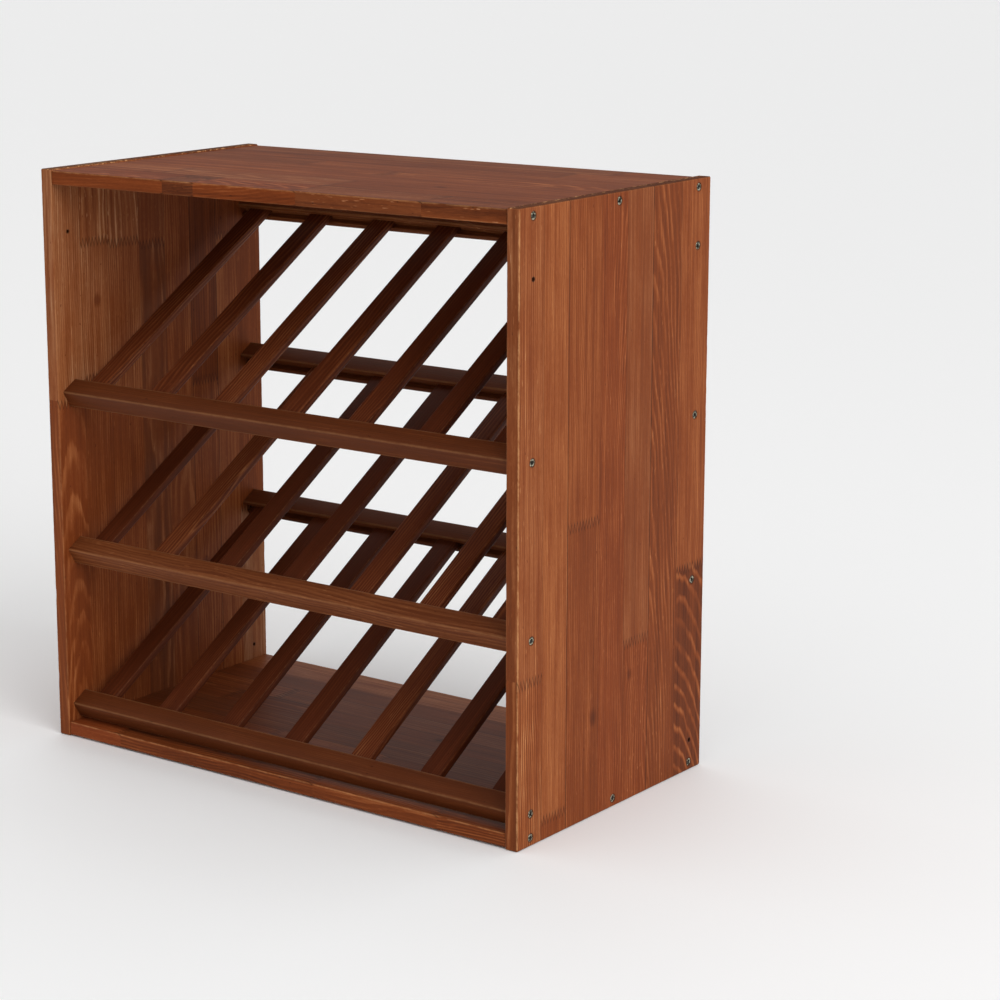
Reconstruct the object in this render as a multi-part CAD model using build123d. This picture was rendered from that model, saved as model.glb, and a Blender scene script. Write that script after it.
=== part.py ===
from build123d import *
import math
import os

os.makedirs("parts", exist_ok=True)

# Free-standing rack for lying bottles. Millimetres, Z up, front towards -Y.
# The origin is on the floor, under the middle of the rack.

# Overall size
rack_width = 675.0
rack_depth = 364.0
rack_height = 680.0

# Boards and side panels, all cut from the same stock
board_thickness = 16.0
board_drop = 1.5          # top board below the panel tops, bottom board above the floor
board_setback = 1.0       # boards behind the front and back edges of the panels
edge_ease = 1.2           # small bevel on the long edges of boards and panels

# Sloping tiers, counted from the floor
tier_names = ["lower", "middle", "upper"]
top_row_drop = 74.0       # highest row of rail centres below the panel tops
rail_to_board_gap = 1.85  # least gap between the lowest rail and the bottom board
rail_inset = 24.5         # rail centre from the front or back edge of the panels

# Grooved rails
rail_width = 25.0         # along the slope
rail_thickness = 22.0     # square to the slope
rail_ease = 1.0
groove_depth = 8.0

# Slats
slats_per_tier = 7
slat_width = 28.0
slat_thickness = 10.0
slat_round = 2.5
wall_to_first_slat = 30.0

# Fasteners
screw_length = 40.0
screw_shank = 4.0
screw_head = 8.4
screw_head_height = 2.8
screw_tip = 5.0
screw_sink = 0.3          # head below the wood surface
recess_depth = 1.6
recess_length = 4.6
recess_width = 1.0
link_hole = 4.0           # open holes for joining racks side by side
pin_diameter = 1.6
pin_in_slat = 7.0

# Clearances
screw_hole_clearance = 0.2    # on the diameter
pilot_clearance = 0.1         # on the diameter
pilot_end_gap = 1.0           # beyond the screw tip
pin_clearance = 0.1           # on the diameter
groove_clearance = 0.2        # above the slat
slat_end_gap = 0.5            # between a slat end and the groove bottom

# Sizes that follow from the ones above
inner_width = rack_width - 2 * board_thickness
board_depth = rack_depth - 2 * board_setback
rail_half_diagonal = math.hypot(rail_width, rail_thickness) / 2
bottom_board_top = board_drop + board_thickness
lowest_level = bottom_board_top + rail_to_board_gap + rail_half_diagonal
level_pitch = (rack_height - top_row_drop - lowest_level) / len(tier_names)
level_count = len(tier_names) + 1
levels = [lowest_level + n * level_pitch for n in range(level_count)]
rail_y = rack_depth / 2 - rail_inset
rail_span = math.hypot(2 * rail_y, level_pitch)
slope = math.degrees(math.atan2(level_pitch, 2 * rail_y))
lower_wall = (rail_thickness - slat_thickness) / 2
seat_span = rail_span - 2 * (rail_width / 2 - groove_depth)
slat_length = seat_span - 2 * slat_end_gap
slat_pitch = (inner_width - 2 * wall_to_first_slat) / (slats_per_tier - 1)
slat_x = [-inner_width / 2 + wall_to_first_slat + n * slat_pitch for n in range(slats_per_tier)]
pin_y = seat_span / 2 - groove_depth / 2
top_board_z = rack_height - board_drop - board_thickness / 2
bottom_board_z = board_drop + board_thickness / 2
board_screw_y = [-rail_y, 0.0, rail_y]
screw_reach = screw_length + screw_sink - board_thickness
outer_x = rack_width / 2


def hole_along_x(diameter, x_from, x_to, y, z):
    """Round plug between two X positions, used to cut a hole."""
    plug = Cylinder(diameter / 2, abs(x_to - x_from))
    return Pos((x_from + x_to) / 2, y, z) * Rot(0, 90, 0) * plug


def screw():
    """Countersunk wood screw, head face at Z=0, pointing down."""
    r = screw_shank / 2
    body = Cylinder(r, screw_length - screw_tip - screw_head_height)
    body = Pos(0, 0, -screw_head_height - (screw_length - screw_tip - screw_head_height) / 2) * body
    tip = Cone(r, 0.4, screw_tip)
    tip = Pos(0, 0, -screw_length + screw_tip / 2) * Rot(180, 0, 0) * tip
    head = Cone(r, screw_head / 2, screw_head_height)
    head = Pos(0, 0, -screw_head_height / 2) * head
    whole = body + tip + head
    cutter = Box(recess_length, recess_width, 2 * recess_depth)
    cutter += Box(recess_width, recess_length, 2 * recess_depth)
    return whole - cutter


def screw_pocket():
    """Clearance hole and countersink for one screw, opening at Z=0."""
    r = (screw_shank + screw_hole_clearance) / 2
    top_r = (screw_head + screw_hole_clearance) / 2
    cone = Pos(0, 0, -screw_sink - screw_head_height / 2) * Cone(r, top_r, screw_head_height)
    rim = Pos(0, 0, -screw_sink / 2) * Cylinder(top_r, screw_sink)
    shaft = Pos(0, 0, -board_thickness / 2) * Cylinder(r, board_thickness)
    return cone + rim + shaft


def place_on_side(shape, side, y, z, sink):
    """Turn a shape pointing down so it points inwards from a side panel."""
    return Pos(side * (outer_x - sink), y, z) * Rot(0, side * 90, 0) * shape


def board_screw_seats(z):
    return [(y, z) for y in board_screw_y]


front_rail_seats = [(-rail_y, z) for z in levels[:-1]]
rear_rail_seats = [(rail_y, z) for z in levels[1:]]
link_seats = [(-rail_y, levels[-1]), (rail_y, levels[0])]
top_seats = board_screw_seats(top_board_z)
bottom_seats = board_screw_seats(bottom_board_z)


def side_panel(side):
    panel = Box(board_thickness, rack_depth, rack_height)
    panel = chamfer(panel.edges().filter_by(Axis.Z), edge_ease)
    panel = chamfer(panel.faces().sort_by(Axis.Z)[-1].edges(), edge_ease)
    panel = Pos(side * (outer_x - board_thickness / 2), 0, rack_height / 2) * panel
    for y, z in top_seats + bottom_seats + front_rail_seats + rear_rail_seats:
        panel -= place_on_side(screw_pocket(), side, y, z, 0)
    for y, z in link_seats:
        panel -= hole_along_x(link_hole, side * (outer_x + 1), side * (inner_width / 2 - 1), y, z)
    return panel


def pilot_holes(seats):
    """Holes at both ends of a member that runs from panel to panel."""
    holes = []
    for side in (-1, 1):
        x_end = side * (inner_width / 2)
        x_in = side * (inner_width / 2 - screw_reach - pilot_end_gap)
        for y, z in seats:
            holes.append(hole_along_x(screw_shank + pilot_clearance, x_end, x_in, y, z))
    return holes


def level_board(z, seats):
    board = Box(inner_width, board_depth, board_thickness)
    board = chamfer(board.edges().filter_by(Axis.X), edge_ease)
    board = Pos(0, 0, z) * board
    for hole in pilot_holes(seats):
        board -= hole
    return board


def tier_place(tier):
    """Middle of a tier, turned to the slope: local Y runs up the slope."""
    return Pos(0, 0, levels[tier] + level_pitch / 2) * Rot(slope, 0, 0)


def pin():
    length = lower_wall + pin_in_slat
    return Pos(0, 0, -rail_thickness / 2 + length / 2) * Cylinder(pin_diameter / 2, length)


def pin_hole():
    length = lower_wall + pin_in_slat + pin_clearance
    plug = Cylinder((pin_diameter + pin_clearance) / 2, length)
    return Pos(0, 0, -rail_thickness / 2 + length / 2) * plug


def rail(tier, end):
    """Grooved rail; end is -1 for the front rail and +1 for the rear rail."""
    bar = Box(inner_width, rail_width, rail_thickness)
    bar = chamfer(bar.edges().filter_by(Axis.X), rail_ease)
    groove = Box(inner_width, groove_depth, slat_thickness + groove_clearance)
    groove_y = -end * (rail_width - groove_depth) / 2
    bar -= Pos(0, groove_y, groove_clearance / 2) * groove
    bar = Pos(0, end * rail_span / 2, 0) * bar
    for x in slat_x:
        bar -= Pos(x, end * pin_y, 0) * pin_hole()
    bar = tier_place(tier) * bar
    level = tier if end < 0 else tier + 1
    for hole in pilot_holes([(end * rail_y, levels[level])]):
        bar -= hole
    return bar


def slat(tier, x):
    strip = Box(slat_width, slat_length, slat_thickness)
    strip = fillet(strip.edges().filter_by(Axis.Y), slat_round)
    for end in (-1, 1):
        strip -= Pos(0, end * pin_y, 0) * pin_hole()
    return tier_place(tier) * Pos(x, 0, 0) * strip


def screw_group(seats):
    screws = []
    for side in (-1, 1):
        for y, z in seats:
            screws.append(place_on_side(screw(), side, y, z, screw_sink))
    return Compound(children=screws)


def pin_group(tier):
    pins = []
    for end in (-1, 1):
        for x in slat_x:
            pins.append(tier_place(tier) * Pos(x, end * pin_y, 0) * pin())
    return Compound(children=pins)


nodes = {
    "left_side_panel": side_panel(-1),
    "right_side_panel": side_panel(1),
    "top_board": level_board(top_board_z, top_seats),
    "bottom_board": level_board(bottom_board_z, bottom_seats),
    "top_board_screws": screw_group(top_seats),
    "bottom_board_screws": screw_group(bottom_seats),
    "front_rail_screws": screw_group(front_rail_seats),
    "rear_rail_screws": screw_group(rear_rail_seats),
}
for tier, name in enumerate(tier_names):
    nodes[f"{name}_front_rail"] = rail(tier, -1)
    nodes[f"{name}_rear_rail"] = rail(tier, 1)
    nodes[f"{name}_slat_pins"] = pin_group(tier)
    for n, x in enumerate(slat_x):
        nodes[f"{name}_slat_{n + 1}"] = slat(tier, x)

for name, shape in nodes.items():
    export_step(shape, f"parts/{name}.step")
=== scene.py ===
import math
import random
import bmesh
import bpy
from mathutils import Matrix, Vector


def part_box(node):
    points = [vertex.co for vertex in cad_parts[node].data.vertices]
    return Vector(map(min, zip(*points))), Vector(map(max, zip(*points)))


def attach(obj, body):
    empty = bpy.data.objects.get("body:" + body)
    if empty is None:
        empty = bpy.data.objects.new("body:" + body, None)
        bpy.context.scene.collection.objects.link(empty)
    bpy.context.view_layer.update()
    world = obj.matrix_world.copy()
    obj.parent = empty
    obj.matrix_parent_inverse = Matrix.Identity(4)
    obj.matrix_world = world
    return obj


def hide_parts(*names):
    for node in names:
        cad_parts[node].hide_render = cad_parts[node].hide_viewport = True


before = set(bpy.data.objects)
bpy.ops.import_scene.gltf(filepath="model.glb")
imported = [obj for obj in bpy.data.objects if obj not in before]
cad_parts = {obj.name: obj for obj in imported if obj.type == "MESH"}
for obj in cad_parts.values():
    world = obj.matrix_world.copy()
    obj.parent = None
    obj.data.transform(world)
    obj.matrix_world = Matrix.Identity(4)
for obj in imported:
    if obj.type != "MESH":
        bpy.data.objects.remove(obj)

print("frame loaded:", len(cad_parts), "parts")
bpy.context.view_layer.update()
scene = bpy.context.scene
scene.view_settings.view_transform = "Standard"
mm = 0.001

# sizes shared by several pieces, read from the frame where it knows them
rack = {
    "tiers": ["lower", "middle", "upper"],
    "slatsPerTier": 7,
    "railWidth": 25 * mm,
    "railThickness": 22 * mm,
    "grooveDepth": 8 * mm,
    "slatWidth": 28 * mm,
    "slatThickness": 10 * mm,
    "slatEndGap": 0.5 * mm,
    "screwHead": 8.4 * mm,
    "screwShank": 4 * mm,
    "linkHole": 4 * mm,
}


def middleOf(node):
    low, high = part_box(node)
    return (low + high) / 2


panelLow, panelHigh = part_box("right_side_panel")
boardLow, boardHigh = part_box("top_board")
rackWidth = panelHigh.x * 2
rackDepth = panelHigh.y - panelLow.y
rackHeight = panelHigh.z
boardThickness = panelHigh.x - panelLow.x
innerWidth = boardHigh.x - boardLow.x
frontRail = middleOf("lower_front_rail")
rearRail = middleOf("lower_rear_rail")
railSpan = (rearRail - frontRail).length
slope = math.atan2(rearRail.z - frontRail.z, rearRail.y - frontRail.y)
tierRise = rearRail.z - frontRail.z
firstSlatX = middleOf("lower_slat_1").x
slatPitch = (middleOf("lower_slat_7").x - firstSlatX) / (rack["slatsPerTier"] - 1)
slatLength = railSpan - rack["railWidth"] + 2 * rack["grooveDepth"] - 2 * rack["slatEndGap"]


# node building: one way to add any node, and values that do their own maths
class Reading:
    def __init__(self, sheet, socket):
        self.sheet = sheet
        self.socket = socket

    def __add__(self, other):
        return self.sheet.maths("ADD", self, other)

    def __sub__(self, other):
        return self.sheet.maths("SUBTRACT", self, other)

    def __rsub__(self, other):
        return self.sheet.maths("SUBTRACT", other, self)

    def __mul__(self, other):
        return self.sheet.maths("MULTIPLY", self, other)

    def __truediv__(self, other):
        return self.sheet.maths("DIVIDE", self, other)

    def __gt__(self, other):
        return self.sheet.maths("GREATER_THAN", self, other)

    def __lt__(self, other):
        return self.sheet.maths("LESS_THAN", self, other)

    __radd__ = __add__
    __rmul__ = __mul__


class Sheet:
    def __init__(self, tree):
        self.tree = tree

    def node(self, kind, settings=None, sockets=None):
        made = self.tree.nodes.new(kind)
        for name, value in (settings or {}).items():
            if name == "stops":
                ramp = made.color_ramp
                while len(ramp.elements) < len(value):
                    ramp.elements.new(0.5)
                for stop, (place, colour) in zip(ramp.elements, value):
                    stop.position = place
                    stop.color = colour
            else:
                setattr(made, name, value)
        for key, value in (sockets or {}).items():
            if isinstance(value, Reading):
                value = value.socket
            if isinstance(value, bpy.types.NodeSocket):
                self.tree.links.new(value, made.inputs[key])
            else:
                made.inputs[key].default_value = value
        return made

    def read(self, made, output=0):
        return Reading(self, made.outputs[output])

    def maths(self, operation, *values):
        made = self.node("ShaderNodeMath", {"operation": operation}, dict(enumerate(values)))
        return self.read(made)

    def vector(self, x=0.0, y=0.0, z=0.0):
        return self.node("ShaderNodeCombineXYZ", None, {0: x, 1: y, 2: z}).outputs[0]

    def split(self, vector):
        parts = self.node("ShaderNodeSeparateXYZ", None, {0: vector})
        return [self.read(parts, n) for n in range(3)]

    def smooth(self, value, low, high):
        made = self.node("ShaderNodeMapRange", {"interpolation_type": "SMOOTHSTEP"},
                         {0: value, 1: low, 2: high, 3: 0.0, 4: 1.0})
        return self.read(made)

    def noise(self, vector, detail=2.0, roughness=0.5):
        made = self.node("ShaderNodeTexNoise", None, {
            "Vector": vector, "Scale": 1.0, "Detail": detail, "Roughness": roughness})
        return self.read(made)

    def chance(self, value):
        made = self.node("ShaderNodeTexWhiteNoise", {"noise_dimensions": "1D"}, {"W": value})
        return self.read(made)

    def mixColour(self, factor, first, second, blend="MIX"):
        made = self.node("ShaderNodeMix", {"data_type": "RGBA", "blend_type": blend},
                         {0: factor, 6: first, 7: second})
        return made.outputs[2]

    def mixVector(self, factor, first, second):
        made = self.node("ShaderNodeMix", {"data_type": "VECTOR"}, {0: factor, 4: first, 5: second})
        return made.outputs[1]

    def least(self, first, second):
        return self.maths("MINIMUM", first, second)

    def most(self, first, second):
        return self.maths("MAXIMUM", first, second)


def newMaterial(name):
    material = bpy.data.materials.new(name)
    material.use_nodes = True
    material.node_tree.nodes.clear()
    return material, Sheet(material.node_tree)


# stained pine: staves glued side by side, each made of blocks joined end to end by fingers
pine = {
    "deepStain": (0.066, 0.015, 0.005, 1),
    "middleStain": (0.205, 0.047, 0.011, 1),
    "paleGrain": (0.350, 0.112, 0.034, 1),
    "flare": (0.520, 0.230, 0.090, 1),
    "greyTint": (0.92, 1.35, 2.20, 1),
    "redTint": (1.03, 0.70, 0.68, 1),
    "bareWood": (0.600, 0.300, 0.125, 1),
    "endGrain": (0.050, 0.018, 0.009, 1),
    "glueAndShade": (0.028, 0.009, 0.004, 1),
    "bend": 9.0,                # mm that the rings wander
    "ripple": 2.8,              # mm, the small wobble of a ring
    "fingerPitch": 5.4,         # mm
    "fingerLength": 10.5,       # mm
    "fingerLine": 0.62,         # how dark the joint is drawn
    "roughness": 0.52,
    "specular": 0.07,
}
# layers of grain: how fast each changes across and along a stave (per mm), its detail and roughness
grainLayers = {
    "sway": (1 / 55, 1 / 240, 2, 0.5),
    "drift": (1 / 80, 1 / 300, 3, 0.5),
    "ripple": (1 / 7, 1 / 70, 3, 0.5),
    "blotch": (1 / 26, 1 / 95, 3, 0.6),
    "band": (1 / 8, 1 / 330, 2, 0.5),
    "thick": (0.30, 0.0045, 2, 0.5),
    "thin": (0.85, 0.012, 4, 0.66),
    "hair": (1.7, 0.14, 3, 0.7),
    "streak": (0.42, 0.0035, 1, 0.5),
    "pit": (0.30, 0.12, 1, 0.5),
    "fleck": (0.8, 0.075, 1, 0.5),
}


def block(tone=0.0, pith=200, depth=60, lean=0.0, contrast=0.4, pitch=3.2, grey=0.0, flecks=0.3):
    # one piece of pine in a stave: how light it is and where its heart lies (mm)
    return {"tone": tone, "pith": pith, "depth": depth, "lean": lean, "contrast": contrast,
            "pitch": pitch, "grey": grey, "flecks": flecks}


def stave(width, blocks, joints=(), line=0.22):
    return {"width": width, "blocks": blocks, "joints": list(joints), "line": line}


def randomStaves(seed, total, length, widthRange=(40, 60), jointChance=0.6):
    dice = random.Random(seed)
    widths = []
    while sum(widths) < total:
        widths.append(dice.uniform(*widthRange))
    spare = (total - sum(widths)) / len(widths)
    staves = []
    for width in widths:
        joints = [dice.uniform(0.12, 0.88) * length] if dice.random() < jointChance else []
        if dice.random() < jointChance * 0.5:
            joints.append(dice.uniform(0.1, 0.9) * length)
        joints.sort()
        blocks = []
        for _ in range(len(joints) + 1):
            flat = dice.random() < 0.35      # flat-sawn pieces show arches, the others show lines
            blocks.append(block(
                tone=dice.gauss(0, 0.32),
                pith=dice.uniform(8, 40) if flat else dice.choice((-1, 1)) * dice.uniform(130, 280),
                depth=dice.uniform(8, 40) if flat else dice.uniform(30, 120),
                lean=dice.uniform(-0.09, 0.09) if flat else dice.uniform(-0.02, 0.02),
                contrast=dice.uniform(0.4, 0.8) if flat else dice.uniform(0.2, 0.6),
                pitch=dice.uniform(3.0, 5.2),
                grey=max(0.0, dice.gauss(0.1, 0.3)), flecks=max(0.0, dice.gauss(0.1, 0.3))))
        staves.append(stave(width + spare, blocks, joints, dice.choice((0.15, 0.25, 0.7))))
    return staves


def blockData(sheet, staves, across, along):
    # three vectors carry what the block at this point is, from stave to stave and joint to joint
    here = None
    seamAndShade = None
    fingers = sheet.maths("PINGPONG", across, pine["fingerPitch"] / 2) / (pine["fingerPitch"] / 2)
    reach = along + (fingers - 0.5) * pine["fingerLength"]
    start = 0.0
    for number, one in enumerate(staves):
        vectors = []
        for place, piece in enumerate(one["blocks"]):
            seed = number * 7.31 + place * 3.17
            vectors.append(((piece["tone"], start + piece["pith"], piece["depth"]),
                            (piece["lean"], piece["contrast"], seed),
                            (piece["pitch"], piece["grey"], piece["flecks"])))
        mine = [sheet.vector(*values) for values in vectors[0]]
        for joint, values in zip(one["joints"], vectors[1:]):
            above = reach > joint
            mine = [sheet.mixVector(above, old, new) for old, new in zip(mine, values)]
        if here is None:
            here = mine
        else:
            passed = across > start
            here = [sheet.mixVector(passed, old, new) for old, new in zip(here, mine)]
            line = (1 - sheet.smooth(sheet.maths("ABSOLUTE", across - start), 0.2, 0.9)) * one["line"]
            seamAndShade = line if seamAndShade is None else sheet.most(seamAndShade, line)
        for joint in one["joints"]:
            inside = (across > start) * (across < start + one["width"])
            near = 1 - sheet.smooth(sheet.maths("ABSOLUTE", reach - joint), 0.6, 3.0)
            line = near * inside * pine["fingerLine"]
            seamAndShade = line if seamAndShade is None else sheet.most(seamAndShade, line)
        start += one["width"]
    names = ("tone", "pith", "depth", "lean", "contrast", "seed", "pitch", "grey", "flecks")
    values = [value for vector in here for value in sheet.split(vector)]
    return dict(zip(names, values), seamAndShade=seamAndShade)


def pineSurface(sheet, across, deep, along, here, look, knots=()):
    shift = here["seed"] * 11.3

    def layer(kind, moves=(1, 0, 0)):
        # moves says in which directions the block's own shift counts
        wide, long, detail, roughness = grainLayers[kind]
        spots = (across * wide, deep * wide, along * long)
        spots = [spot + shift if move else spot for spot, move in zip(spots, moves)]
        return sheet.noise(sheet.vector(*spots), detail, roughness)

    u = across - here["pith"] + (layer("sway") - 0.5) * (2 * pine["bend"])
    v = deep + here["depth"] + along * here["lean"]
    v = v + (layer("drift", (0, 1, 1)) - 0.5) * (3 * pine["bend"])
    knotDark = None
    for knotAcross, knotAlong, size in knots:
        da = (across - knotAcross) / size
        dl = (along - knotAlong) / (size * 2.2)
        near = sheet.maths("EXPONENT", (da * da + dl * dl) * -0.5)
        v = v + near * (size * 0.9)
        core = 1 - sheet.smooth(sheet.maths("SQRT", da * da + dl * dl * 2.2), 0.15, 0.9)
        knotDark = core if knotDark is None else sheet.most(knotDark, core)
    radius = sheet.maths("SQRT", u * u + v * v)
    ring = sheet.maths("FRACT", (radius + layer("ripple", (0, 0, 1)) * pine["ripple"]) / here["pitch"])
    late = sheet.smooth(ring, here["pitch"] * 0.07 + 0.03, 0.78) * (1 - sheet.smooth(ring, 0.84, 1.0))
    blotch = layer("blotch", (0, 0, 1))
    calm = sheet.smooth(blotch, 0.30, 0.66) * 0.75 + 0.35
    thin = (layer("thin") - 0.5) * calm + 0.5
    fibre = layer("thick") * look["thick"] + thin * (1 - look["thick"])
    streak = layer("streak", (1, 0, 1))
    strength = here["contrast"] * (sheet.smooth(blotch, 0.30, 0.62) + 0.25)
    figure = (late - 0.38) * strength * look["figure"]
    grain = figure + (fibre - 0.5) * look["fibre"]
    if "sawn" in here:
        grain = grain * (1 - here["sawn"] * look["sawnCalm"])
    light = (0.5 + look["lift"] + here["tone"] * look["toneSpread"] + grain
             + (layer("hair") - 0.5) * look["hair"]
             + (layer("band") - 0.5) * look["band"]
             + (blotch - 0.5) * look["blotch"]
             + sheet.smooth(layer("fleck"), 0.66, 0.76) * here["flecks"] * 0.5
             + sheet.smooth(streak, 0.66, 0.80) * look["streak"]
             - sheet.smooth(layer("pit"), 0.74, 0.80) * 0.30)
    if knotDark is not None:
        light = light - knotDark * look["knot"]
    stops = ((0.0, "deepStain"), (0.5, "middleStain"), (0.8, "paleGrain"), (1.0, "flare"))
    ramp = sheet.node("ShaderNodeValToRGB", {
        "stops": [(place, look.get(stain, pine[stain])) for place, stain in stops]}, {0: light})
    patchy = here["grey"] * (sheet.smooth(blotch, 0.3, 0.7) * 0.6 + 0.4)
    tinted = sheet.mixColour(patchy, ramp.outputs[0], pine["greyTint"], "MULTIPLY")
    redder = here["grey"] * -1        # a grey below nothing is red
    tinted = sheet.mixColour(redder, tinted, pine["redTint"], "MULTIPLY")
    return tinted, light, fibre, late


def arrisWear(sheet, distances, along, reach, amount, patch):
    # the middle one of three face distances is small only along an arris
    a, b, c = distances
    middle = sheet.most(sheet.least(a, b), sheet.least(sheet.most(a, b), c))
    patchy = sheet.noise(sheet.vector(along / 23, a / 5 + 3.0, b / 5), 3, 0.65)
    nibble = sheet.noise(sheet.vector(along / 4, a / 3, b / 3), 2, 0.6)
    edge = 1 - sheet.smooth(middle + (nibble - 0.5) * 1.6, 0.3, reach)
    return edge * sheet.smooth(patchy, *patch) * amount


def finishWood(sheet, colour, light, fibre, late, wear, seamAndShade, endGrain, look, chips=None):
    worn = sheet.mixColour(wear, colour, pine["bareWood"])
    if endGrain is not None:
        worn = sheet.mixColour(endGrain * (0.95 - fibre * 0.5), worn, pine["endGrain"])
    if chips is not None:
        worn = sheet.mixColour(chips, worn, pine["bareWood"])
    relief = fibre * 0.5 + late * 0.3
    if seamAndShade is not None:
        # seams take the dark glue colour, and so does the painted shade of link holes and screw rings
        # carried in this mask
        worn = sheet.mixColour(seamAndShade, worn, pine["glueAndShade"])
        relief = relief - seamAndShade * 0.5
    bump = sheet.node("ShaderNodeBump", None, {
        "Strength": 0.35, "Distance": 0.4 * mm, "Height": relief})
    rough = look.get("roughness", pine["roughness"])
    rough = (fibre - 0.5) * 0.2 + rough + wear * 0.2 - light * 0.05
    if endGrain is not None:
        rough = rough + endGrain * 0.4
    shader = sheet.node("ShaderNodeBsdfPrincipled", None, {
        "Base Color": worn, "Roughness": rough, "Normal": bump.outputs[0],
        "Specular IOR Level": look.get("specular", pine["specular"])})
    sheet.node("ShaderNodeOutputMaterial", None, {0: shader.outputs[0]})


boxLook = {       # how far each kind of mark lightens or darkens the stain
    "lift": 0.0, "toneSpread": 0.30, "figure": 0.32, "fibre": 1.0, "thick": 0.45, "hair": 0.42,
    "streak": 0.22, "band": 0.45, "blotch": 0.34, "knot": 0.26,
    "edgeDark": 0.35, "edgeGrey": 0.22, "sawnCalm": 0.2,     # the sawn edges
    "wear": (2.0, 0.62, (0.30, 0.56)), "chips": 0.75,        # reach (mm), amount, patchiness
}
bruiseAndShade = {"reach": 4.2, "through": 2, "amount": 0.65}          # painted shade in the countersink gap, and bruised, dirty wood: a ring at a screw (mm)
holeShade = {"reach": 2.3, "through": 15, "amount": 0.92}         # painted shade, the dark inside of a link hole


def darkSpots(sheet, across, deep, along, seats, look):
    # painted shade close around each screw, where the wood is also bruised and dirty, and painted
    # shade inside each link hole
    ragged = (sheet.noise(sheet.vector(across, along, deep), 1) - 0.5) * 1.5
    spot = sheet.vector(across + ragged, along, 0.0)
    nearest = None
    for seat in seats:
        away = sheet.read(sheet.node("ShaderNodeVectorMath", {"operation": "DISTANCE"},
                                     {0: spot, 1: (seat[0], seat[1], 0)}), 1)
        nearest = away if nearest is None else sheet.least(nearest, away)
    beside = 1 - sheet.smooth(nearest, look["reach"], look["reach"] * 1.5)
    return beside * (1 - sheet.smooth(deep, look["through"], look["through"] + 2)) * look["amount"]


def staveMaterial(name, staves, origin, axes, size, look, knots=(), seats=()):
    # axes says which world axis is across, deep and along, each with its sign
    material, sheet = newMaterial(name)
    place = sheet.node("ShaderNodeTexCoord").outputs["Object"]
    xyz = sheet.split(place)
    readings = []
    for (axis, sign), start in zip(axes, origin):
        readings.append((xyz[axis] - start) * (sign / mm))
    across, deep, along = readings
    here = blockData(sheet, staves, across, along)
    edgeFace = 1 - sheet.smooth(sheet.least(across, size[0] / mm - across), 0.4, 1.4)
    here["sawn"] = edgeFace
    here["tone"] = here["tone"] - edgeFace * look["edgeDark"]     # sawn edges drink more stain
    here["grey"] = here["grey"] + edgeFace * look["edgeGrey"]
    colour, light, fibre, late = pineSurface(sheet, across, deep, along, here, look, knots)
    distances = [sheet.least(value, whole / mm - value) for value, whole in zip(readings, size)]
    wear = arrisWear(sheet, distances, along + across, *look["wear"])
    wear = wear * (1 - sheet.smooth(deep, 5, 11) * 0.7)       # hands and boxes rub the outside
    wear = wear * (sheet.smooth(distances[2], 1.5, 4) * 0.85 + 0.15)
    splinters = sheet.noise(sheet.vector(across / 4.5, deep / 2.2, along / 3), 1)
    chips = sheet.smooth(splinters, 0.57, 0.63) * look["chips"]
    chips = chips * sheet.smooth(deep, 8, 12) * (1 - sheet.smooth(distances[2], 0.6, 1.6))
    endGrain = 1 - sheet.smooth(distances[2], 0.2, 0.9)
    # painted shade in each link hole and around each screw (there also bruised, dirty wood) joins the
    # seam mask
    if seats:
        for spots, spotLook in ((seats, bruiseAndShade), (linkSeats, holeShade)):
            dark = darkSpots(sheet, across, deep, along, spots, spotLook)
            here["seamAndShade"] = sheet.most(here["seamAndShade"], dark)
    finishWood(sheet, colour, light, fibre, late, wear, here["seamAndShade"], endGrain, look, chips)
    return material


# panels and boards: slabs with hand-eased arrises and real screw pockets
slabLook = {
    "round": 1.6 * mm,
    "roundSteps": 4,
    "ringStep": 4 * mm,
    "nibble": 0.16 * mm,
    "chips": 9,
    "chipReach": 7 * mm,
    "chipDepth": 0.8 * mm,
}


def sectionPoints(halfA, halfB, radius, steps):
    points = []
    for cornerA, cornerB, turn in ((1, 1, 0), (-1, 1, 90), (-1, -1, 180), (1, -1, 270)):
        for k in range(steps + 1):
            angle = math.radians(turn + 90 * k / steps)
            points.append((cornerA * (halfA - radius) + radius * math.cos(angle),
                           cornerB * (halfB - radius) + radius * math.sin(angle)))
    return points


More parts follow.
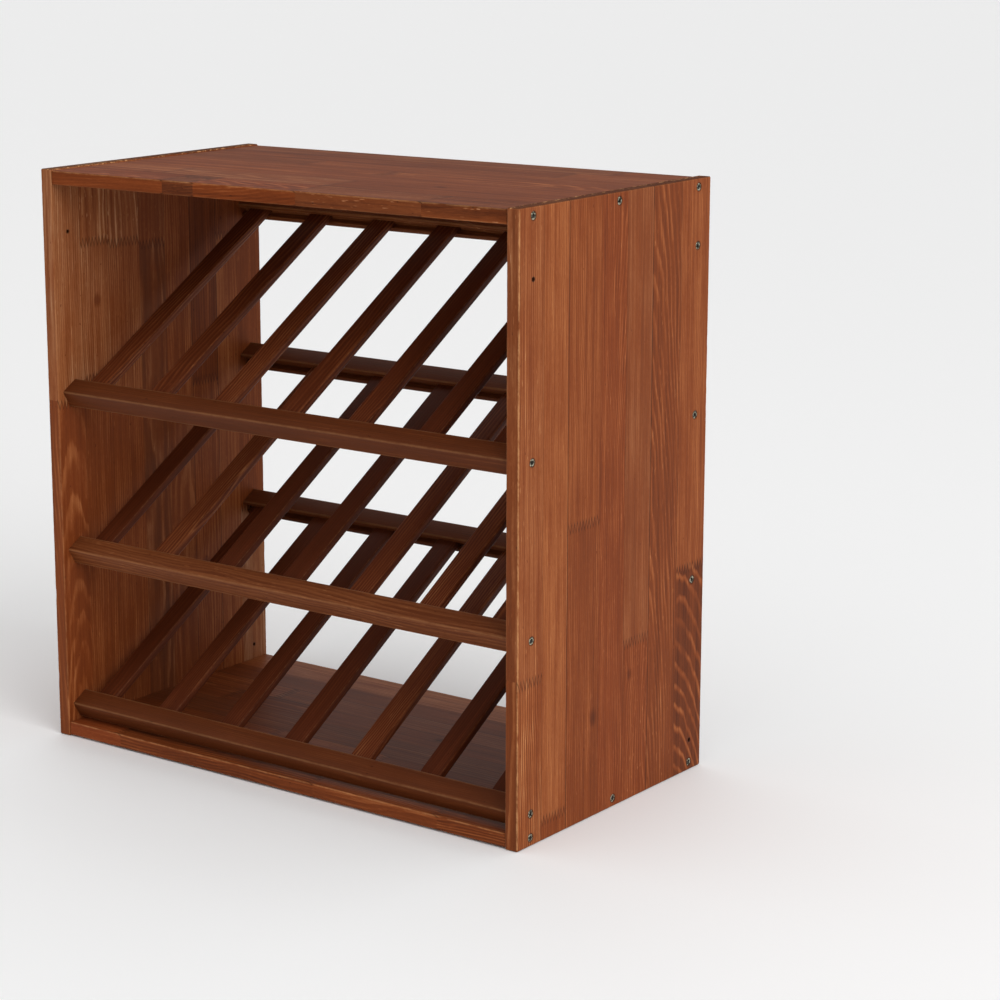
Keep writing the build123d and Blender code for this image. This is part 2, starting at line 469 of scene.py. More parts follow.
def roundedSlab(name, low, high, longAxis, seed):
    dice = random.Random(seed)
    look = slabLook
    size = high - low
    centre = (low + high) / 2
    shortAxes = [a for a in range(3) if a != longAxis]
    r = look["round"]
    length = size[longAxis]
    stations = [(r * (1 - math.cos(t)), r * (1 - math.sin(t)))
                for t in [math.pi / 2 * k / look["roundSteps"] for k in range(look["roundSteps"] + 1)]]
    count = int(length / look["ringStep"])
    rings = list(stations)
    rings += [(r + (length - 2 * r) * k / count, 0.0) for k in range(1, count)]
    rings += [(length - a, b) for a, b in reversed(stations)]
    chips = [(dice.uniform(0, length), dice.randrange(4), dice.uniform(0.4, 1.0) * look["chipDepth"])
             for _ in range(look["chips"])]
    mesh = bmesh.new()
    shell = []
    steps = look["roundSteps"]
    for place, inset in rings:
        ring = []
        nibbles = [dice.uniform(0, 1) ** 2 * look["nibble"] for _ in range(4)]
        for where, corner, depth in chips:
            nibbles[corner] += depth * max(0.0, 1 - abs(where - place) / look["chipReach"])
        points = sectionPoints(size[shortAxes[0]] / 2 - inset, size[shortAxes[1]] / 2 - inset,
                               max(r - inset, 0.02 * mm), steps)
        for n, (a, b) in enumerate(points):
            corner, step = divmod(n, steps + 1)
            bite = nibbles[corner] * math.sin(math.pi * step / steps) * (1 if inset == 0 else 0.3)
            signA = 1 if corner in (0, 3) else -1
            signB = 1 if corner in (0, 1) else -1
            spot = Vector((0, 0, 0))
            spot[shortAxes[0]] = centre[shortAxes[0]] + a - signA * bite * 0.7
            spot[shortAxes[1]] = centre[shortAxes[1]] + b - signB * bite * 0.7
            spot[longAxis] = low[longAxis] + place
            ring.append(mesh.verts.new(spot))
        shell.append(ring)
    skin(mesh, shell)
    return meshObject(name, mesh)


def meshObject(name, mesh):
    data = bpy.data.meshes.new(name)
    mesh.to_mesh(data)
    mesh.free()
    made = bpy.data.objects.new(name, data)
    scene.collection.objects.link(made)
    return made


def skin(mesh, rings):
    # joins rings of points into a closed shell
    mesh.faces.new(list(reversed(rings[0])))
    for lower, upper in zip(rings, rings[1:]):
        for k in range(len(lower)):
            j = (k + 1) % len(lower)
            mesh.faces.new((lower[k], lower[j], upper[j], upper[k]))
    mesh.faces.new(rings[-1])
    bmesh.ops.recalc_face_normals(mesh, faces=mesh.faces)


def lathe(mesh, profile, matrix, segments):
    # a closed round solid from (radius, height) pairs, bottom first
    angles = [2 * math.pi * k / segments for k in range(segments)]
    rings = []
    for radius, height in profile:
        spots = [Vector((radius * math.cos(t), radius * math.sin(t), height)) for t in angles]
        rings.append([mesh.verts.new(matrix @ spot) for spot in spots])
    skin(mesh, rings)


def carve(piece, cutter):
    cut = piece.modifiers.new("carve", "BOOLEAN")
    cut.operation = "DIFFERENCE"
    cut.solver = "EXACT"
    cut.object = cutter
    settle(piece)
    bpy.data.objects.remove(cutter)


def bake(piece):
    # the evaluated shape becomes the piece's own plain mesh
    graph = bpy.context.evaluated_depsgraph_get()
    plain = bpy.data.meshes.new_from_object(piece.evaluated_get(graph))
    piece.modifiers.clear()
    old = piece.data
    piece.data = plain
    plain.name = piece.name
    bpy.data.meshes.remove(old)


def settle(piece):
    bake(piece)
    piece.data.shade_smooth()
    piece.data.set_sharp_from_angle(angle=math.radians(34))
    return piece


def evenShading(piece):
    # large faces keep their flat shading beside the eased arrises
    weigh = piece.modifiers.new("evenShading", "WEIGHTED_NORMAL")
    weigh.keep_sharp = True
    bake(piece)


def hand(piece, material, nodes):
    if material is not None:
        piece.data.materials.clear()
        piece.data.materials.append(material)
    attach(piece, "root")
    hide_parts(*nodes)


screwRows = {      # first seat and step to the next, on the right-hand panel (m)
    "topBoardScrews": {"node": "top_board_screws", "board": "top_board"},
    "bottomBoardScrews": {"node": "bottom_board_screws", "board": "bottom_board"},
    "frontRailScrews": {"node": "front_rail_screws", "rail": frontRail},
    "rearRailScrews": {"node": "rear_rail_screws", "rail": rearRail},
}
for row in screwRows.values():
    if "board" in row:
        row["first"] = Vector((rackWidth / 2, frontRail.y, middleOf(row["board"]).z))
        row["step"] = Vector((0, rearRail.y, 0))
    else:
        row["first"] = Vector((rackWidth / 2, row["rail"].y, row["rail"].z))
        row["step"] = Vector((0, 0, tierRise))
linkHoles = [Vector((rackWidth / 2, frontRail.y, frontRail.z + 3 * tierRise)),
             Vector((rackWidth / 2, rearRail.y, frontRail.z))]
linkSeats = [((spot.y - panelLow.y) / mm, spot.z / mm) for spot in linkHoles]
screwLook = {
    "sink": 0.3 * mm,
    "headHeight": 2.8 * mm,
    "length": 40 * mm,
    "tip": 5 * mm,
    "rim": 0.35 * mm,
    "recessSpan": 6.2 * mm,
    "recessWidth": 2.6 * mm,
    "recessDepth": 2.2 * mm,
    "fit": 0.28 * mm,
}


def pocketCutter(side):
    mesh = bmesh.new()
    shaft = rack["screwShank"] / 2 + screwLook["fit"]
    head = rack["screwHead"] / 2 + screwLook["fit"]
    sink = screwLook["sink"]
    deep = boardThickness + 1 * mm
    profile = [(shaft, -deep), (shaft, -sink - screwLook["headHeight"]), (head, -sink),
               (head + 0.25 * mm, -0.05 * mm), (head + 0.3 * mm, 1 * mm)]
    turn = Matrix.Rotation(math.radians(90 * side), 4, "Y")
    for row in screwRows.values():
        for n in range(3):
            spot = row["first"] + row["step"] * n
            lathe(mesh, profile, Matrix.Translation((side * spot.x, spot.y, spot.z)) @ turn, 28)
    r = rack["linkHole"] / 2
    for spot in linkHoles:
        hole = [(r, -deep), (r, -0.3 * mm), (r + 0.25 * mm, 0), (r + 0.6 * mm, 1 * mm)]
        lathe(mesh, hole, Matrix.Translation((side * spot.x, spot.y, spot.z)) @ turn, 20)
    return meshObject("pocketCutter", mesh)


rightStaves = [
    stave(44, [block(0.12, -150, 40, contrast=1.35, pitch=3.3, flecks=0.0),
               block(0.26, -260, 60, 0.01, contrast=0.5, grey=0.15, flecks=0.5)], [181]),
    stave(45.5, [block(-0.1, -240, 60, contrast=0.5),
                 block(0.32, -200, 70, contrast=0.5, pitch=2.7, flecks=0.3)], [22]),
    stave(60.5, [block(-0.25, 210, 50, 0.01, contrast=0.5, flecks=0.4),
                 block(0.0, 160, 40, contrast=0.5, flecks=0.2)], [332], line=0.75),
    stave(49, [block(-0.2, 70, 20, 0.03, contrast=0.6, grey=-0.18, flecks=0.5)]),
    stave(50, [block(-0.15, 60, 30, 0.02, contrast=0.6, grey=-0.15, flecks=0.9),
               block(-0.05, 280, 90, contrast=0.25, grey=0.3, flecks=0.1)], [181], line=0.4),
    stave(57, [block(-0.33, -12, 20, 0.09, contrast=0.75, pitch=4.3, flecks=0.8)], line=0.75),
    stave(58, [block(-0.52, -4, 54, 0.27, contrast=1.2, pitch=6.8, flecks=0.0),
               block(0.12, -190, 50, contrast=0.4)], [242]),
]
leftStaves = randomStaves(11, rackDepth / mm, rackHeight / mm)
# the upper blocks of the three front staves are painted lighter: a painted pool of light where light
# through the open front falls high on this panel
leftStaves[0] = stave(leftStaves[0]["width"], [
    block(0.1, 24, 8, 0.08, contrast=0.7, pitch=4.6, grey=-0.1),
    block(0.62, -220, 60, contrast=0.5, grey=0.35)], [404])
leftStaves[1] = stave(leftStaves[1]["width"], [
    block(-0.05, -180, 50, contrast=0.5), block(0.55, -150, 40, 0.01, contrast=0.5, grey=0.3),
    block(0.55, 20, 9, 0.02, contrast=0.9, grey=0.2, flecks=1.0)], [428, 590])
leftStaves[2] = stave(leftStaves[2]["width"], [
    block(-0.1, 220, 50, contrast=0.4), block(0.35, 240, 50, contrast=0.5, grey=0.2),
    block(0.55, -60, 20, 0.05, contrast=0.8, pitch=6.5, grey=0.3, flecks=1.0)], [398, 584])
panelSize = (rackDepth, boardThickness, rackHeight)
leftLook = dict(boxLook, streak=0.10, fibre=0.85, hair=0.36)
seats = [((spot.y - panelLow.y) / mm, spot.z / mm)
         for row in screwRows.values() for spot in (row["first"] + row["step"] * n for n in range(3))]
for side, staves, look, knots in ((1, rightStaves, boxLook, [(141, 113, 11), (212, 145, 7)]),
                                  (-1, leftStaves, leftLook, [(70, 520, 9), (250, 160, 12)])):
    word = "right" if side > 0 else "left"
    low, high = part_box(word + "_side_panel")
    panel = roundedSlab(word + "SidePanel", low, high, 2, 40 + side)
    carve(panel, pocketCutter(side))
    evenShading(panel)
    origin = (panelLow.y, side * rackWidth / 2, 0.0)
    wood = staveMaterial(word + "PanelPine", staves, origin, ((1, 1), (0, -side), (2, 1)),
                         panelSize, look, knots, seats)
    hand(panel, wood, [word + "_side_panel"])
print("side panels made")

frontBlocks = {
    "top": ([block(-0.1, 10, 14, 0.05, contrast=0.6, grey=-0.2),
             block(-0.8, 30, 10, 0.10, contrast=1.1, grey=0.4, flecks=1.2),
             block(0.0, 12, 16, 0.12, contrast=0.9, pitch=4.4, grey=-0.25),
             block(-0.15, 90, 30, 0.02, contrast=0.5, grey=0.35, flecks=1.0),
             block(-0.6, 40, 12, -0.05, contrast=0.7, grey=0.15, flecks=1.2)],
            [167, 213, 360, 529]),
    "bottom": ([block(0.3, -200, 60, contrast=0.2, grey=-0.4),
                block(-0.25, 30, 18, 0.02, contrast=0.9),
                block(0.1, -90, 40, 0.02, contrast=0.6),
                block(-0.1, 24, 12, 0.03, contrast=1.2)],
               [78, 373, 547]),
}
topLook = dict(boxLook, lift=-0.08, toneSpread=0.2, fibre=1.1, hair=0.5, band=0.7, blotch=0.45,
               edgeDark=0.1, edgeGrey=0.1, sawnCalm=0.5, wear=(2.0, 0.3, (0.30, 0.56)), chips=0.0,
               roughness=0.58, specular=0.035)
bottomLook = dict(boxLook, lift=-0.10, wear=(2.0, 0.35, (0.30, 0.56)), chips=0.0,
                  edgeDark=0.0, edgeGrey=0.0)
boardSize = (boardHigh.y - boardLow.y, boardThickness, innerWidth)
for word, seed, knots, look in (("top", 23, [(60, 95, 7), (118, 470, 9)], topLook),
                                ("bottom", 31, [(210, 400, 10)], bottomLook)):
    low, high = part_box(word + "_board")
    board = roundedSlab(word + "Board", low, high, 0, 60 + seed)
    settle(board)
    evenShading(board)
    staves = randomStaves(seed, boardSize[0] / mm, innerWidth / mm, (40, 60), 0.9)
    staves[0] = stave(staves[0]["width"], *frontBlocks[word])
    material = staveMaterial(word + "BoardPine", staves, (low.y, high.z, low.x),
                             ((1, 1), (2, -1), (0, 1)), boardSize, look, knots)
    hand(board, material, [word + "_board"])
print("boards made")


# rails and slats: sloping ladders, all the same in every tier
def tiltedReadings(sheet, centre):
    # turns the pattern to the slope and counts the tiers, so each tier reads the same
    place = sheet.node("ShaderNodeTexCoord").outputs["Object"]
    turned = sheet.node("ShaderNodeMapping", None, {"Vector": place, "Rotation": (-slope, 0, 0)})
    x, u, v = [value / mm for value in sheet.split(turned.outputs[0])]
    u0 = (centre.y * math.cos(slope) + centre.z * math.sin(slope)) / mm
    v0 = (-centre.y * math.sin(slope) + centre.z * math.cos(slope)) / mm
    du = tierRise * math.sin(slope) / mm
    dv = tierRise * math.cos(slope) / mm
    tier = sheet.maths("FLOOR", (v - v0) / dv + 0.5)
    return x, u - u0 - tier * du, v - v0 - tier * dv, tier


railLook = {
    "deepStain": (0.042, 0.010, 0.003, 1),
    "middleStain": (0.112, 0.027, 0.007, 1),
    "paleGrain": (0.205, 0.062, 0.019, 1),
    "flare": (0.330, 0.135, 0.052, 1),
    "lift": 0.05, "toneSpread": 0.20, "figure": 0.22, "fibre": 0.70, "thick": 0.4, "hair": 0.25,
    "streak": 0.08, "band": 0.20, "blotch": 0.25, "specular": 0.10,
    "wear": (2.8, 0.15, (0.20, 0.55)),      # reach (mm), amount, patchiness
    "ease": 1.2 * mm,
    "easeSteps": 3,
    "lip": 0.5 * mm,            # the eased mouth of the groove
    "gap": 0.2 * mm,            # over the slat
}
slatLook = {
    "deepStain": (0.028, 0.006, 0.002, 1),
    "middleStain": (0.094, 0.020, 0.006, 1),
    "paleGrain": (0.180, 0.048, 0.015, 1),
    "flare": (0.280, 0.110, 0.042, 1),
    "lift": 0.0, "toneSpread": 0.20, "figure": 0.30, "fibre": 0.65, "thick": 0.4, "hair": 0.20,
    "streak": 0.05, "band": 0.15, "blotch": 0.25, "specular": 0.10,
    "wear": (1.4, 0.14, (0.25, 0.60)),
    "round": 2.4 * mm,
    "wander": 0.10 * mm,
}


def paintBar(sheet, across, deep, along, section, here, look):
    # grain along a bar, wear only along its four long arrises
    colour, light, fibre, late = pineSurface(sheet, across, deep, along, here, look)
    edges = [sheet.least(value, whole / mm - value) for value, whole in zip((across, deep), section)]
    wear = arrisWear(sheet, (*edges, edges[0] + 50), along, *look["wear"])
    finishWood(sheet, colour, light, fibre, late, wear, None, None, look)


def railMaterial(name, centre, isRear):
    material, sheet = newMaterial(name)
    along, u, v, tier = tiltedReadings(sheet, centre)
    across = u + rack["railWidth"] / mm / 2
    deep = v + rack["railThickness"] / mm / 2
    seed = tier * 5.7 + (20.0 if isRear else 4.0)
    luck = sheet.chance(seed)
    here = {"tone": (luck - 0.5) * 1.2, "pith": luck * 120 - 150, "depth": 30 + luck * 40,
            "lean": luck * 0.02, "contrast": luck * 0.5 + 0.3, "seed": seed, "pitch": luck + 2.6,
            "grey": 0.0, "flecks": luck * 0.6}
    paintBar(sheet, across, deep, along, (rack["railWidth"], rack["railThickness"]), here, railLook)
    return material


def slatMaterial(name, centre):
    material, sheet = newMaterial(name)
    x, u, v, tier = tiltedReadings(sheet, centre)
    pitch = slatPitch / mm
    number = sheet.maths("FLOOR", (x - firstSlatX / mm) / pitch + 0.5)
    across = x - firstSlatX / mm - number * pitch + rack["slatWidth"] / mm / 2
    deep = v + rack["slatThickness"] / mm / 2
    seed = number * 3.3 + tier * 29.0 + 100.0
    luck = sheet.chance(seed)
    other = sheet.chance(seed + 0.37)
    here = {"tone": (luck - 0.5) * 1.4, "pith": other * 200 - 100, "depth": 14 + luck * 30,
            "lean": (other - 0.5) * 0.08, "contrast": luck * 0.7 + 0.3, "seed": seed,
            "pitch": other + 2.8, "grey": 0.0, "flecks": luck * 0.5}
    paintBar(sheet, across, deep, u, (rack["slatWidth"], rack["slatThickness"]), here, slatLook)
    return material


def newGeometry(name, inputs):
    # a geometry tree with named inputs; returns its sheet, its inputs and its ending
    tree = bpy.data.node_groups.new(name, "GeometryNodeTree")
    for label, kind in inputs.items():
        tree.interface.new_socket(name=label, in_out="INPUT", socket_type="NodeSocket" + kind)
    tree.interface.new_socket(name="Geometry", in_out="OUTPUT", socket_type="NodeSocketGeometry")
    sheet = Sheet(tree)
    entry = sheet.node("NodeGroupInput")
    given = {label: sheet.read(entry, label) for label in inputs}

    def end(geometry):
        whole = sheet.node("GeometryNodeRealizeInstances", None, {"Geometry": geometry})
        painted = sheet.node("GeometryNodeSetMaterial", None, {
            "Geometry": whole.outputs[0], "Material": given["Material"]})
        sheet.node("NodeGroupOutput", None, {"Geometry": painted.outputs[0]})
    return sheet, given, end


def barAlong(sheet, section, start, finish, steps):
    # a straight bar with this section, its upper side kept upwards
    path = sheet.node("GeometryNodeCurvePrimitiveLine", None, {"Start": start, "End": finish})
    fine = sheet.node("GeometryNodeResampleCurve", None, {"Curve": path.outputs[0], "Count": steps})
    upright = sheet.node("GeometryNodeSetCurveNormal", {"mode": "Z_UP"}, {"Curve": fine.outputs[0]})
    return sheet.node("GeometryNodeCurveToMesh", None, {
        "Curve": upright.outputs[0], "Profile Curve": section, "Fill Caps": True}).outputs[0]


def copiesOf(sheet, shape, count, start, step, turn=(0, 0, 0)):
    row = sheet.node("GeometryNodeMeshLine", None, {
        "Count": count, "Start Location": start, "Offset": step})
    return sheet.node("GeometryNodeInstanceOnPoints", None, {
        "Points": row.outputs[0], "Instance": shape, "Rotation": turn}).outputs[0]


def together(sheet, shapes):
    both = sheet.node("GeometryNodeJoinGeometry")
    for shape in shapes:
        sheet.tree.links.new(shape, both.inputs[0])
    return both.outputs[0]


def tilted(sheet, shape, given):
    # up to its tier's middle height, turned to the slope
    return sheet.node("GeometryNodeTransform", None, {
        "Geometry": shape, "Translation": sheet.vector(z=given["Height"]),
        "Rotation": sheet.vector(given["Slope"])}).outputs[0]


def grow(name, tree, values):
    # runs a geometry tree with these inputs and keeps the result as a plain mesh
    piece = bpy.data.objects.new(name, bpy.data.meshes.new(name))
    scene.collection.objects.link(piece)
    maker = piece.modifiers.new(name, "NODES")
    maker.node_group = tree
    for item in tree.interface.items_tree:
        if item.in_out == "INPUT" and item.name in values:
            maker[item.identifier] = values[item.name]
    return settle(piece)


def slatTree():
    sheet, given, end = newGeometry("slatLadder", {
        "Material": "Material", "Count": "Int", "First": "Float", "Pitch": "Float", "Width": "Float",
        "Thickness": "Float", "Length": "Float", "Round": "Float", "Wander": "Float",
        "Slope": "Float", "Height": "Float", "Seed": "Int"})
    section = sheet.node("GeometryNodeCurvePrimitiveQuadrilateral", None,
                         {"Width": given["Width"], "Height": given["Thickness"]})
    eased = sheet.node("GeometryNodeFilletCurve", {"mode": "POLY"},
                       {"Curve": section.outputs[0], "Count": 5, "Radius": given["Round"]})
    half = given["Length"] * 0.5
    slat = barAlong(sheet, eased.outputs[0], sheet.vector(y=half * -1),
                    sheet.vector(y=half), 26)
    row = copiesOf(sheet, slat, given["Count"], sheet.vector(given["First"]),
                   sheet.vector(given["Pitch"]))
    whole = sheet.node("GeometryNodeRealizeInstances", None, {"Geometry": row})
    spot = sheet.node("GeometryNodeInputPosition")
    grain = sheet.node("ShaderNodeTexNoise", {"noise_dimensions": "4D"},
                       {"Vector": spot.outputs[0], "W": given["Seed"], "Scale": 9.0, "Detail": 1.0})
    pull = sheet.node("ShaderNodeVectorMath", {"operation": "SUBTRACT"},
                      {0: grain.outputs["Color"], 1: (0.5, 0.5, 0.5)})
    push = sheet.node("ShaderNodeVectorMath", {"operation": "SCALE"},
                      {0: pull.outputs[0], "Scale": given["Wander"]})
    uneven = sheet.node("GeometryNodeSetPosition", None, {
        "Geometry": whole.outputs[0], "Offset": push.outputs[0]})
    end(tilted(sheet, uneven.outputs[0], given))
    return sheet.tree


ladder = slatTree()
slatWood = slatMaterial("slatPine", Vector((0, 0, frontRail.z + tierRise / 2)))
for number, tier in enumerate(rack["tiers"]):
    slats = grow(tier + "Slats", ladder, {
        "Material": slatWood, "Count": rack["slatsPerTier"], "First": firstSlatX, "Pitch": slatPitch,
        "Width": rack["slatWidth"], "Thickness": rack["slatThickness"], "Length": slatLength,
        "Round": slatLook["round"], "Wander": slatLook["wander"], "Slope": slope,
        "Height": frontRail.z + tierRise * (number + 0.5), "Seed": 5 + number})
    hand(slats, None, [f"{tier}_slat_{n + 1}" for n in range(rack["slatsPerTier"])])
print("slats made")

pinLook = {"radius": 0.8 * mm, "sink": 0.35 * mm, "length": 12.5 * mm, "sides": 14}
pinPlace = slatLength / 2 + rack["slatEndGap"] - rack["grooveDepth"] / 2


def railSection():
    # outline of the front rail square to its length: x up the slope, y square to it
    halfW, halfT = rack["railWidth"] / 2, rack["railThickness"] / 2
    outline = sectionPoints(halfW, halfT, railLook["ease"], railLook["easeSteps"])
    halfG = rack["slatThickness"] / 2
    floor = halfW - rack["grooveDepth"]
    lip, gap = railLook["lip"], railLook["gap"]
    groove = [(halfW, -halfG - lip), (halfW - lip, -halfG), (floor, -halfG),
              (floor, halfG + gap), (halfW - lip, halfG + gap), (halfW, halfG + lip + gap)]
    outline += groove
    curve = bpy.data.curves.new("railSection", "CURVE")
    curve.dimensions = "2D"
    spline = curve.splines.new("POLY")
    spline.points.add(len(outline) - 1)
    for point, (x, y) in zip(spline.points, outline):
        point.co = (-x, -y, 0, 1)     # a bar grown along X turns its section half round
    spline.use_cyclic_u = True
    made = bpy.data.objects.new("railSection", curve)
    scene.collection.objects.link(made)
    return made


def railTree():
    sheet, given, end = newGeometry("groovedRails", {
        "Material": "Material", "Section": "Object", "Length": "Float", "Tiers": "Int",
        "Rise": "Float",
        "Height": "Float", "Reach": "Float", "Turn": "Float", "Slope": "Float", "Pins": "Int",
        "First Pin": "Float", "Pin Pitch": "Float", "Pin Place": "Float", "Pin Radius": "Float",
        "Under": "Float"})
    section = sheet.node("GeometryNodeObjectInfo", None, {"Object": given["Section"]})
    half = given["Length"] * 0.5
    bar = barAlong(sheet, section.outputs["Geometry"], sheet.vector(half * -1),
                   sheet.vector(half), 32)
    placed = sheet.node("GeometryNodeTransform", None,
                        {"Geometry": bar, "Translation": sheet.vector(y=given["Reach"] * -1)})
    drill = sheet.node("GeometryNodeMeshCylinder", None, {
        "Vertices": pinLook["sides"], "Radius": given["Pin Radius"], "Depth": 14 * mm})
    row = copiesOf(sheet, drill.outputs[0], given["Pins"],
                   sheet.vector(given["First Pin"], given["Pin Place"] * -1, given["Under"]),
                   sheet.vector(given["Pin Pitch"]))
    solid = sheet.node("GeometryNodeRealizeInstances", None, {"Geometry": row})
    drilled = sheet.node("GeometryNodeMeshBoolean", {"operation": "DIFFERENCE"},
                         {"Mesh 1": placed.outputs[0], "Mesh 2": solid.outputs[0]})
    turned = sheet.node("GeometryNodeTransform", None, {
        "Geometry": drilled.outputs[0], "Rotation": sheet.vector(z=given["Turn"])})
    end(copiesOf(sheet, turned.outputs[0], given["Tiers"], sheet.vector(z=given["Height"]),
                 sheet.vector(z=given["Rise"]), sheet.vector(given["Slope"])))
    return sheet.tree


section = railSection()
railMaker = railTree()
for word, turn, centre in (("front", 0.0, frontRail), ("rear", math.pi, rearRail)):
    wood = railMaterial(word + "RailPine", centre, word == "rear")
    rails = grow(word + "Rails", railMaker, {
        "Material": wood, "Section": section, "Length": innerWidth, "Tiers": len(rack["tiers"]),
        "Rise": tierRise, "Height": frontRail.z + tierRise / 2, "Reach": railSpan / 2, "Turn": turn,
        "Slope": slope, "Pins": rack["slatsPerTier"], "First Pin": firstSlatX, "Pin Pitch": slatPitch,
        "Pin Place": pinPlace, "Pin Radius": pinLook["radius"] + 0.15 * mm,
        "Under": -rack["railThickness"] / 2})
    hand(rails, None, [f"{tier}_{word}_rail" for tier in rack["tiers"]])
bpy.data.objects.remove(section)
print("rails made")


# metal: countersunk screws with a yellow zinc coat, and plain wire pins
def metalMaterial(name, colour, tarnish, roughness, mouth=None):
    # mouth is how far out (m) the recess begins: painted shade darkens everything further in, standing
    # for the shade deep in the screw recess
    material, sheet = newMaterial(name)
    place = sheet.node("ShaderNodeTexCoord").outputs["Object"]
    cloud, scratch = [sheet.read(sheet.node("ShaderNodeTexNoise", None, {
        "Vector": place, "Scale": scale, "Detail": 2.0})) for scale in (380.0, 2600.0)]
    # a cloud mixes in the darker mottle; on the zinc it is near black, partly tarnish and partly
    # painted dark reflection
    tint = sheet.mixColour(sheet.smooth(cloud, 0.40, 0.56), colour, tarnish)
    rough = roughness + (cloud - 0.5) * 0.25
    metal = 1.0
    if mouth is not None:
        # painted shade: inside the recess the colour goes near black, less metallic and rougher
        outward = sheet.maths("ABSOLUTE", sheet.split(place)[0])
        inside = 1 - sheet.smooth(outward, mouth - 0.35 * mm, mouth - 0.04 * mm)
        tint = sheet.mixColour(inside, tint, (0.012, 0.010, 0.007, 1))
        metal = 1 - inside * 0.9
        rough = rough + inside * 0.3
    bump = sheet.node("ShaderNodeBump", None, {"Strength": 0.3, "Distance": 0.0001, "Height": scratch})
    shader = sheet.node("ShaderNodeBsdfPrincipled", None, {
        "Base Color": tint, "Metallic": metal, "Roughness": rough, "Normal": bump.outputs[0]})
    sheet.node("ShaderNodeOutputMaterial", None, {0: shader.outputs[0]})
    return material


def masterScrew():
    look = screwLook
    head, shank = rack["screwHead"] / 2, rack["screwShank"] / 2
    mesh = bmesh.new()
    profile = [(0.2 * mm, -look["length"]), (shank, -look["length"] + look["tip"]),
               (shank, -look["headHeight"] - 0.3 * mm), (shank + 0.25 * mm, -look["headHeight"]),
               (head - 0.1 * mm, -look["rim"]), (head, -look["rim"] * 0.6), (head, -0.12 * mm),
               (head - 0.15 * mm, -0.02 * mm), (head - 0.4 * mm, 0.0), (head * 0.45, -0.04 * mm)]
    lathe(mesh, profile, Matrix.Identity(4), 36)
    screw = meshObject("masterScrew", mesh)
    cutter = bmesh.new()
    wide, narrow = look["recessSpan"] / 2, look["recessWidth"] / 2
    foot, waist = 0.35, 0.8       # how much narrower the cross is at its bottom
    top, bottom = [], []
    for k in range(4):
        turn = Matrix.Rotation(math.pi / 2 * k, 3, "Z")
        for x, y, shrink in ((wide, -narrow, foot), (wide, narrow, foot), (narrow, narrow, waist)):
            top.append(turn @ Vector((x, y, 1 * mm)))
            bottom.append(turn @ Vector((x * shrink, y * waist, -look["recessDepth"])))
    skin(cutter, [[cutter.verts.new(spot) for spot in ring] for ring in (bottom, top)])
    carve(screw, meshObject("recessCutter", cutter))
    return screw


def screwTree():
    sheet, given, end = newGeometry("screwRow", {
        "Material": "Material", "Screw": "Object", "Count": "Int", "First": "Vector", "Step": "Vector",
        "Sink": "Float", "Seed": "Int"})
    master = sheet.node("GeometryNodeObjectInfo", None, {"Object": given["Screw"]})
    sides = []
    for side in (1, -1):
        place = sheet.node("ShaderNodeVectorMath", {"operation": "MULTIPLY"},
                           {0: given["First"], 1: (side, 1, 1)})
        start = sheet.node("ShaderNodeVectorMath", {"operation": "ADD"},
                           {0: place.outputs[0], 1: sheet.vector(given["Sink"] * -side)})
        heads = copiesOf(sheet, master.outputs["Geometry"], given["Count"], start.outputs[0],
                         given["Step"], (0, math.radians(90 * side), 0))
        twist = sheet.node("FunctionNodeRandomValue", {"data_type": "FLOAT"},
                           {2: 0.0, 3: math.pi / 2, "Seed": given["Seed"] + (3 * side)})
        turned = sheet.node("GeometryNodeRotateInstances", None, {
            "Instances": heads, "Rotation": sheet.vector(z=sheet.read(twist, 1)),
            "Local Space": True})
        sides.append(turned.outputs[0])
    end(together(sheet, sides))
    return sheet.tree


# the zinc colour is darkened and its near-black mottle is partly tarnish and partly painted dark
# reflection of the surroundings
zinc = metalMaterial("yellowZinc", (0.46, 0.43, 0.32, 1), (0.045, 0.038, 0.022, 1), 0.24,
                     rackWidth / 2 - screwLook["sink"])
wire = metalMaterial("brightWire", (0.52, 0.51, 0.48, 1), (0.34, 0.30, 0.26, 1), 0.38)
screw = masterScrew()
screwMaker = screwTree()
for seed, (name, row) in enumerate(screwRows.items()):
    screws = grow(name, screwMaker, {
        "Material": zinc, "Screw": screw, "Count": 3, "First": row["first"], "Step": row["step"],
        "Sink": screwLook["sink"], "Seed": 10 + seed})
    hand(screws, None, [row["node"]])
bpy.data.objects.remove(screw)
print("screws made")


def pinTree():
    sheet, given, end = newGeometry("pinRows", {
        "Material": "Material", "Count": "Int", "First": "Float", "Pitch": "Float", "Place": "Float",
        "Radius": "Float", "Length": "Float", "Under": "Float", "Slope": "Float", "Height": "Float"})
    pin = sheet.node("GeometryNodeMeshCylinder", None, {
        "Vertices": pinLook["sides"], "Radius": given["Radius"], "Depth": given["Length"]})
    middle = given["Under"] + given["Length"] * 0.5
    rows = [copiesOf(sheet, pin.outputs[0], given["Count"],
                     sheet.vector(given["First"], given["Place"] * side, middle),
                     sheet.vector(given["Pitch"])) for side in (-1, 1)]
    end(tilted(sheet, together(sheet, rows), given))
    return sheet.tree


pinMaker = pinTree()
for number, tier in enumerate(rack["tiers"]):
    pins = grow(tier + "SlatPins", pinMaker, {
        "Material": wire, "Count": rack["slatsPerTier"], "First": firstSlatX, "Pitch": slatPitch,
        "Place": pinPlace, "Radius": pinLook["radius"], "Length": pinLook["length"],
        "Under": -rack["railThickness"] / 2 + pinLook["sink"], "Slope": slope,
        "Height": frontRail.z + tierRise * (number + 0.5)})
    hand(pins, None, [f"{tier}_slat_pins"])
print("pins made")

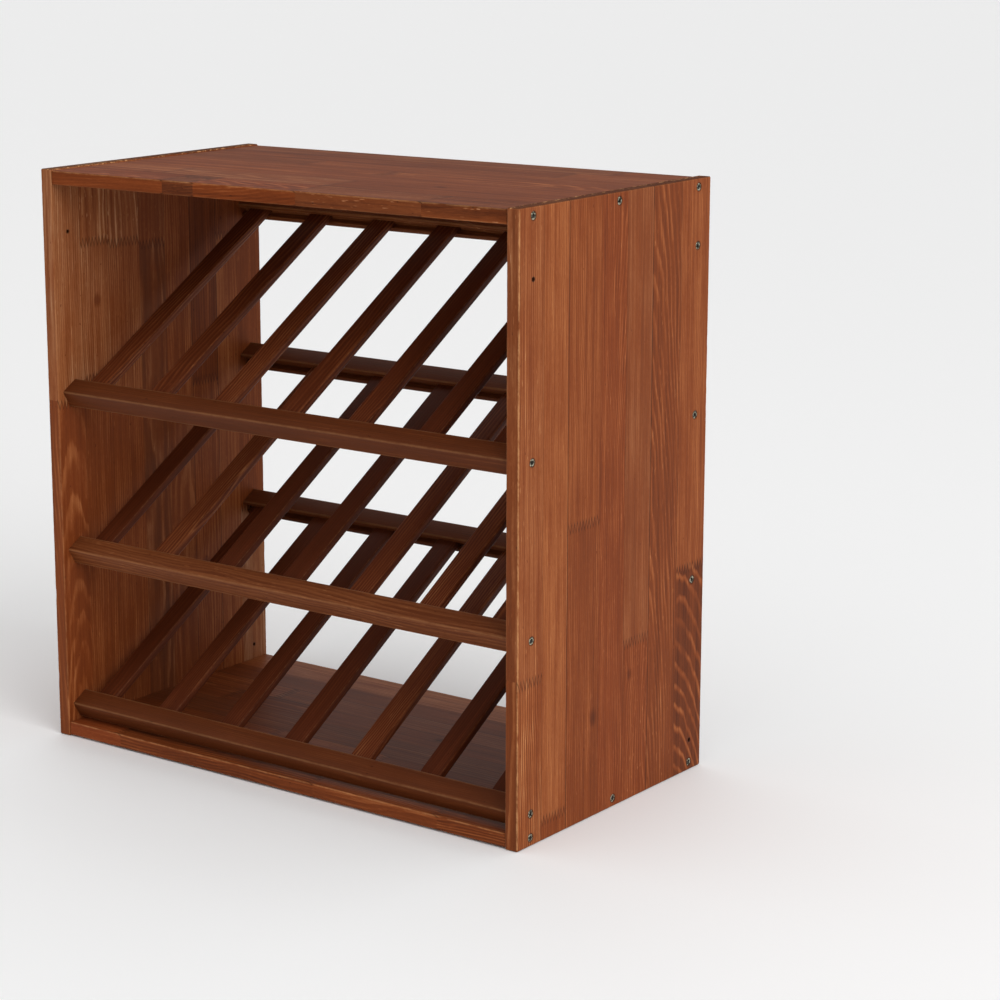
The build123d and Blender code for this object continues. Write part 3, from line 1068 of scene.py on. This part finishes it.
# floor, light and camera
room = {"floorSize": 90.0, "floorColour": (0.96, 0.96, 0.96, 1), "skyStrength": 0.73}
floorMesh = bmesh.new()
bmesh.ops.create_grid(floorMesh, x_segments=2, y_segments=2, size=room["floorSize"] / 2)
floor = meshObject("floor", floorMesh)
floor.data.transform(Matrix.Translation((0, 0, -0.4 * mm)))
floorPaint, sheet = newMaterial("paleFloor")
speck = sheet.read(sheet.node("ShaderNodeTexNoise", None, {
    "Vector": sheet.node("ShaderNodeTexCoord").outputs["Object"], "Scale": 60.0, "Detail": 3.0}))
paint = sheet.node("ShaderNodeBsdfPrincipled", None, {
    "Base Color": room["floorColour"], "Roughness": 0.6 + speck * 0.1, "Specular IOR Level": 0.2})
sheet.node("ShaderNodeOutputMaterial", None, {0: paint.outputs[0]})
floor.data.materials.append(floorPaint)

world = bpy.data.worlds.new("studio")
scene.world = world
world.use_nodes = True
world.node_tree.nodes["Background"].inputs[0].default_value = (1, 1, 1, 1)
world.node_tree.nodes["Background"].inputs[1].default_value = room["skyStrength"]


def softLight(name, place, target, size, power):
    lamp = bpy.data.lights.new(name, "AREA")
    lamp.shape = "RECTANGLE"
    lamp.size, lamp.size_y = size
    lamp.energy = power
    made = bpy.data.objects.new(name, lamp)
    made.location = place
    made.rotation_euler = (Vector(target) - Vector(place)).to_track_quat("-Z", "Y").to_euler()
    scene.collection.objects.link(made)


softLight("keyLight", (3.0, -0.9, 2.4), (0.2, 0, 0.4), (2.0, 1.8), 20)
sun = bpy.data.objects.new("windowLight", bpy.data.lights.new("windowLight", "SUN"))
sun.data.energy = 1.0
sun.data.angle = math.radians(50)
sun.rotation_euler = Vector((0.84, -0.22, 0.50)).to_track_quat("Z", "Y").to_euler()
scene.collection.objects.link(sun)

camera = {
    "place": (1.8873, -2.3677, 1.0024),
    "azimuth": 38.365,
    "elevation": 12.615,
    "roll": -0.432,
    "lens": 96.7,
    "shift": (0.12, -0.02),
}
azimuth, elevation, roll = (math.radians(camera[k]) for k in ("azimuth", "elevation", "roll"))
back = Vector((math.sin(azimuth) * math.cos(elevation), -math.cos(azimuth) * math.cos(elevation),
               math.sin(elevation)))
right = Vector((0, 0, 1)).cross(back).normalized()
upward = back.cross(right)
tiltedRight = right * math.cos(roll) + upward * math.sin(roll)
tiltedUp = upward * math.cos(roll) - right * math.sin(roll)
lensData = bpy.data.cameras.new("camera")
lensData.lens = camera["lens"]
lensData.sensor_width = 36
lensData.shift_x, lensData.shift_y = camera["shift"]
lensData.clip_end = 60
eye = bpy.data.objects.new("camera", lensData)
facing = Matrix((tiltedRight, tiltedUp, back)).transposed().to_4x4()
eye.matrix_world = Matrix.Translation(camera["place"]) @ facing
scene.collection.objects.link(eye)
scene.camera = eye

print("stage set")
